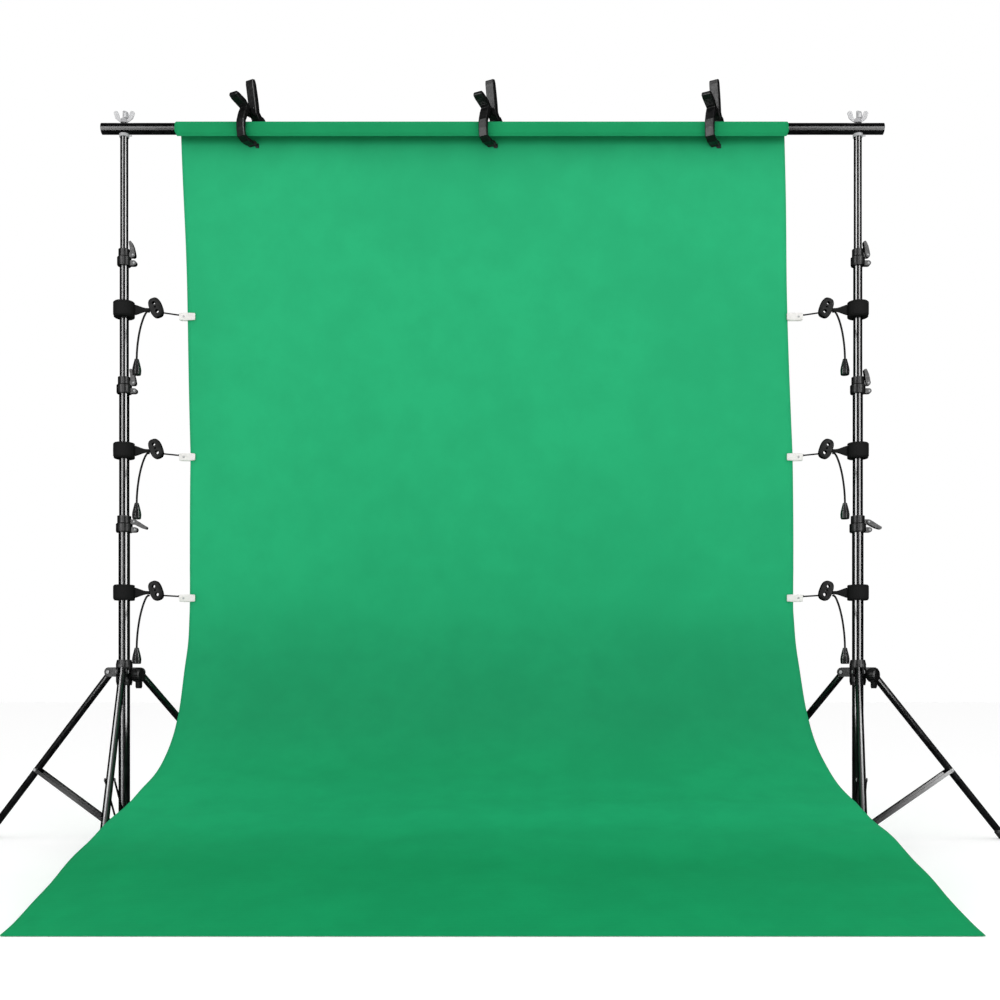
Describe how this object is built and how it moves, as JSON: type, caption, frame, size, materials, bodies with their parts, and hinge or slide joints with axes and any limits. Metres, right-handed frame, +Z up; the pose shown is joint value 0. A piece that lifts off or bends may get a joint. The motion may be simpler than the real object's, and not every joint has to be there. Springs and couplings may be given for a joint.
{
  "type": "background support system",
  "caption": "Crossbar on two telescoping tripod stands, holding a cloth backdrop that sweeps forward onto the floor, with spring clamps and side tension clips.",
  "frame": {"origin": "middle of the footprint, on the floor", "axes": "+X along the crossbar, -Y towards the viewer and the front of the sheet, +Z up"},
  "size_m": [2.7465, 1.438, 1.9577],
  "materials": {
    "metal_black": "gloss black enamel",
    "plastic_black": "satin moulded",
    "metal_silver": "bright cast",
    "cloth_green": "matte, softly mottled",
    "webbing_black": "matte hook-and-loop",
    "cord_black": "braided"
  },
  "bodies": {
    "bar": {"crossbar": "metal_black", "backdrop": "cloth_green", "left_top_tube": "metal_black", "right_top_tube": "metal_black", "left_bar_stud": "metal_silver", "right_bar_stud": "metal_silver", "clamp_1_rear_arm": "plastic_black", "clamp_2_rear_arm": "plastic_black", "clamp_3_rear_arm": "plastic_black"},
    "left_wing_nut": {"left_wing_nut": "metal_silver"},
    "left_upper": {"left_upper_tube": "metal_black", "left_upper_lock_collar": "plastic_black", "left_top_strap": "webbing_black", "left_top_drawcord": "cord_black"},
    "left_lower": {"left_lower_tube": "metal_black", "left_lower_lock_collar": "plastic_black", "left_middle_strap": "webbing_black", "left_middle_drawcord": "cord_black"},
    "left_base": {"left_base_tube": "metal_black", "left_base_lock_collar": "plastic_black"},
    "left_bottom_strap": {"left_bottom_strap": "webbing_black", "left_bottom_drawcord": "cord_black"},
    "left_leg_hub": {"left_leg_hub": "plastic_black"},
    "left_hub_knob": {"left_hub_knob": "plastic_black"},
    "left_upper_lock_lever": {"left_upper_lock_lever": "plastic_black"},
    "left_lower_lock_lever": {"left_lower_lock_lever": "plastic_black"},
    "left_base_lock_lever": {"left_base_lock_lever": "plastic_black"},
    "left_leg_1": {"left_leg_1": "metal_black"},
    "left_brace_1": {"left_brace_1": "metal_black"},
    "left_leg_2": {"left_leg_2": "metal_black"},
    "left_brace_2": {"left_brace_2": "metal_black"},
    "left_leg_3": {"left_leg_3": "metal_black"},
    "left_brace_3": {"left_brace_3": "metal_black"},
    "right_wing_nut": {"right_wing_nut": "metal_silver"},
    "right_upper": {"right_upper_tube": "metal_black", "right_upper_lock_collar": "plastic_black", "right_top_strap": "webbing_black", "right_top_drawcord": "cord_black"},
    "right_lower": {"right_lower_tube": "metal_black", "right_lower_lock_collar": "plastic_black", "right_middle_strap": "webbing_black", "right_middle_drawcord": "cord_black"},
    "right_base": {"right_base_tube": "metal_black", "right_base_lock_collar": "plastic_black"},
    "right_bottom_strap": {"right_bottom_strap": "webbing_black", "right_bottom_drawcord": "cord_black"},
    "right_leg_hub": {"right_leg_hub": "plastic_black"},
    "right_hub_knob": {"right_hub_knob": "plastic_black"},
    "right_upper_lock_lever": {"right_upper_lock_lever": "plastic_black"},
    "right_lower_lock_lever": {"right_lower_lock_lever": "plastic_black"},
    "right_base_lock_lever": {"right_base_lock_lever": "plastic_black"},
    "right_leg_1": {"right_leg_1": "metal_black"},
    "right_brace_1": {"right_brace_1": "metal_black"},
    "right_leg_2": {"right_leg_2": "metal_black"},
    "right_brace_2": {"right_brace_2": "metal_black"},
    "right_leg_3": {"right_leg_3": "metal_black"},
    "right_brace_3": {"right_brace_3": "metal_black"},
    "clamp_1_front_arm": {"clamp_1_front_arm": "plastic_black"},
    "clamp_2_front_arm": {"clamp_2_front_arm": "plastic_black"},
    "clamp_3_front_arm": {"clamp_3_front_arm": "plastic_black"}
  },
  "joints": [
    {"name": "left_wing_nut_turn", "type": "hinge", "parent": "bar", "child": "left_wing_nut", "pos_m": [-0.943, 0.3946, 1.846], "axis": [0, 0, 1], "continuous": true},
    {"name": "left_upper_tube_slide", "type": "slide", "parent": "bar", "child": "left_upper", "axis": [0, 0, 1], "range_m": [-0.18, 0.26]},
    {"name": "left_upper_lock_lever_swing", "type": "hinge", "parent": "left_upper", "child": "left_upper_lock_lever", "pos_m": [-0.919, 0.3946, 1.507], "axis": [0, 1, 0], "range_deg": [0, 130]},
    {"name": "left_lower_tube_slide", "type": "slide", "parent": "left_upper", "child": "left_lower", "axis": [0, 0, 1], "range_m": [-0.2, 0.125]},
    {"name": "left_lower_lock_lever_swing", "type": "hinge", "parent": "left_lower", "child": "left_lower_lock_lever", "pos_m": [-0.9176, 0.3946, 1.18], "axis": [0, 1, 0], "range_deg": [0, 130]},
    {"name": "left_base_tube_slide", "type": "slide", "parent": "left_lower", "child": "left_base", "axis": [0, 0, 1], "range_m": [-0.2, 0.12]},
    {"name": "left_base_lock_lever_swing", "type": "hinge", "parent": "left_base", "child": "left_base_lock_lever", "pos_m": [-0.9161, 0.3946, 0.825], "axis": [0, 1, 0], "range_deg": [-130, 0]},
    {"name": "left_hub_slide", "type": "slide", "parent": "left_base", "child": "left_leg_hub", "axis": [0, 0, 1], "range_m": [0, 0.215]},
    {"name": "left_bottom_strap_slide", "type": "slide", "parent": "left_base", "child": "left_bottom_strap", "axis": [0, 0, 1], "range_m": [0, 0.1]},
    {"name": "left_hub_knob_turn", "type": "hinge", "parent": "left_leg_hub", "child": "left_hub_knob", "pos_m": [-0.943, 0.3946, 0.433], "axis": [0.9455, -0.3256, 0], "continuous": true},
    {"name": "left_leg_1_fold", "type": "hinge", "parent": "left_leg_hub", "child": "left_leg_1", "pos_m": [-0.93537, 0.35534, 0.441], "axis": [0.9816, 0.1908, 0], "range_deg": [0, 34]},
    {"name": "left_brace_1_fold", "type": "hinge", "parent": "left_leg_1", "child": "left_brace_1", "pos_m": [-0.8911, 0.1276, 0.18522], "axis": [-0.9816, -0.1908, 0], "range_deg": [0, 82]},
    {"name": "left_leg_2_fold", "type": "hinge", "parent": "left_leg_hub", "child": "left_leg_2", "pos_m": [-0.91281, 0.42084, 0.441], "axis": [-0.6561, 0.7547, 0], "range_deg": [0, 34]},
    {"name": "left_brace_2_fold", "type": "hinge", "parent": "left_leg_2", "child": "left_brace_2", "pos_m": [-0.73772, 0.57305, 0.18522], "axis": [0.6561, -0.7547, 0], "range_deg": [0, 82]},
    {"name": "left_leg_3_fold", "type": "hinge", "parent": "left_leg_hub", "child": "left_leg_3", "pos_m": [-0.98082, 0.40762, 0.441], "axis": [-0.3256, -0.9455, 0], "range_deg": [0, 34]},
    {"name": "left_brace_3_fold", "type": "hinge", "parent": "left_leg_3", "child": "left_brace_3", "pos_m": [-1.20018, 0.48316, 0.18522], "axis": [0.3256, 0.9455, 0], "range_deg": [0, 82]},
    {"name": "right_wing_nut_turn", "type": "hinge", "parent": "bar", "child": "right_wing_nut", "pos_m": [0.935, 0.3946, 1.846], "axis": [0, 0, 1], "continuous": true},
    {"name": "right_upper_tube_slide", "type": "slide", "parent": "bar", "child": "right_upper", "axis": [0, 0, 1], "range_m": [-0.18, 0.26]},
    {"name": "right_upper_lock_lever_swing", "type": "hinge", "parent": "right_upper", "child": "right_upper_lock_lever", "pos_m": [0.959, 0.3946, 1.507], "axis": [0, 1, 0], "range_deg": [0, 130]},
    {"name": "right_lower_tube_slide", "type": "slide", "parent": "right_upper", "child": "right_lower", "axis": [0, 0, 1], "range_m": [-0.2, 0.125]},
    {"name": "right_lower_lock_lever_swing", "type": "hinge", "parent": "right_lower", "child": "right_lower_lock_lever", "pos_m": [0.9604, 0.3946, 1.18], "axis": [0, 1, 0], "range_deg": [0, 130]},
    {"name": "right_base_tube_slide", "type": "slide", "parent": "right_lower", "child": "right_base", "axis": [0, 0, 1], "range_m": [-0.2, 0.12]},
    {"name": "right_base_lock_lever_swing", "type": "hinge", "parent": "right_base", "child": "right_base_lock_lever", "pos_m": [0.9619, 0.3946, 0.825], "axis": [0, 1, 0], "range_deg": [-130, 0]},
    {"name": "right_hub_slide", "type": "slide", "parent": "right_base", "child": "right_leg_hub", "axis": [0, 0, 1], "range_m": [0, 0.215]},
    {"name": "right_bottom_strap_slide", "type": "slide", "parent": "right_base", "child": "right_bottom_strap", "axis": [0, 0, 1], "range_m": [0, 0.1]},
    {"name": "right_hub_knob_turn", "type": "hinge", "parent": "right_leg_hub", "child": "right_hub_knob", "pos_m": [0.935, 0.3946, 0.433], "axis": [0.7071, -0.7071, 0], "continuous": true},
    {"name": "right_leg_1_fold", "type": "hinge", "parent": "right_leg_hub", "child": "right_leg_1", "pos_m": [0.92465, 0.35596, 0.441], "axis": [0.9659, -0.2588, 0], "range_deg": [0, 34]},
    {"name": "right_brace_1_fold", "type": "hinge", "parent": "right_leg_1", "child": "right_brace_1", "pos_m": [0.8646, 0.13187, 0.18522], "axis": [-0.9659, 0.2588, 0], "range_deg": [0, 82]},
    {"name": "right_leg_2_fold", "type": "hinge", "parent": "right_leg_hub", "child": "right_leg_2", "pos_m": [0.97364, 0.40495, 0.441], "axis": [-0.2588, 0.9659, 0], "range_deg": [0, 34]},
    {"name": "right_brace_2_fold", "type": "hinge", "parent": "right_leg_2", "child": "right_brace_2", "pos_m": [1.19773, 0.465, 0.18522], "axis": [0.2588, -0.9659, 0], "range_deg": [0, 82]},
    {"name": "right_leg_3_fold", "type": "hinge", "parent": "right_leg_hub", "child": "right_leg_3", "pos_m": [0.90672, 0.42288, 0.441], "axis": [-0.7071, -0.7071, 0], "range_deg": [0, 34]},
    {"name": "right_brace_3_fold", "type": "hinge", "parent": "right_leg_3", "child": "right_brace_3", "pos_m": [0.74267, 0.58693, 0.18522], "axis": [0.7071, 0.7071, 0], "range_deg": [0, 82]},
    {"name": "clamp_1_squeeze", "type": "hinge", "parent": "bar", "child": "clamp_1_front_arm", "pos_m": [-0.621, 0.3946, 1.875], "axis": [-0.8829, 0.4695, 0], "range_deg": [0, 25], "stiffness_Nm_per_rad": 1.5, "springref_deg": -28.65},
    {"name": "clamp_2_squeeze", "type": "hinge", "parent": "bar", "child": "clamp_2_front_arm", "pos_m": [-0.007, 0.3946, 1.875], "axis": [-0.8829, 0.4695, 0], "range_deg": [0, 25], "stiffness_Nm_per_rad": 1.5, "springref_deg": -28.65},
    {"name": "clamp_3_squeeze", "type": "hinge", "parent": "bar", "child": "clamp_3_front_arm", "pos_m": [0.567, 0.3946, 1.875], "axis": [-0.8829, 0.4695, 0], "range_deg": [0, 25], "stiffness_Nm_per_rad": 1.5, "springref_deg": -28.65}
  ],
  "couplings": [
    {"joint": "left_bottom_strap_slide", "follows": "left_hub_slide", "ratio": 0.45},
    {"joint": "left_leg_1_fold", "follows": "left_hub_slide", "rad_per_m": 2.7111},
    {"joint": "left_brace_1_fold", "follows": "left_hub_slide", "rad_per_m": 6.5844},
    {"joint": "left_leg_2_fold", "follows": "left_hub_slide", "rad_per_m": 2.7111},
    {"joint": "left_brace_2_fold", "follows": "left_hub_slide", "rad_per_m": 6.5844},
    {"joint": "left_leg_3_fold", "follows": "left_hub_slide", "rad_per_m": 2.7111},
    {"joint": "left_brace_3_fold", "follows": "left_hub_slide", "rad_per_m": 6.5844},
    {"joint": "right_upper_tube_slide", "follows": "left_upper_tube_slide", "ratio": 1},
    {"joint": "right_lower_tube_slide", "follows": "left_lower_tube_slide", "ratio": 1},
    {"joint": "right_base_tube_slide", "follows": "left_base_tube_slide", "ratio": 1},
    {"joint": "right_bottom_strap_slide", "follows": "right_hub_slide", "ratio": 0.45},
    {"joint": "right_leg_1_fold", "follows": "right_hub_slide", "rad_per_m": 2.7111},
    {"joint": "right_brace_1_fold", "follows": "right_hub_slide", "rad_per_m": 6.5844},
    {"joint": "right_leg_2_fold", "follows": "right_hub_slide", "rad_per_m": 2.7111},
    {"joint": "right_brace_2_fold", "follows": "right_hub_slide", "rad_per_m": 6.5844},
    {"joint": "right_leg_3_fold", "follows": "right_hub_slide", "rad_per_m": 2.7111},
    {"joint": "right_brace_3_fold", "follows": "right_hub_slide", "rad_per_m": 6.5844}
  ]
}
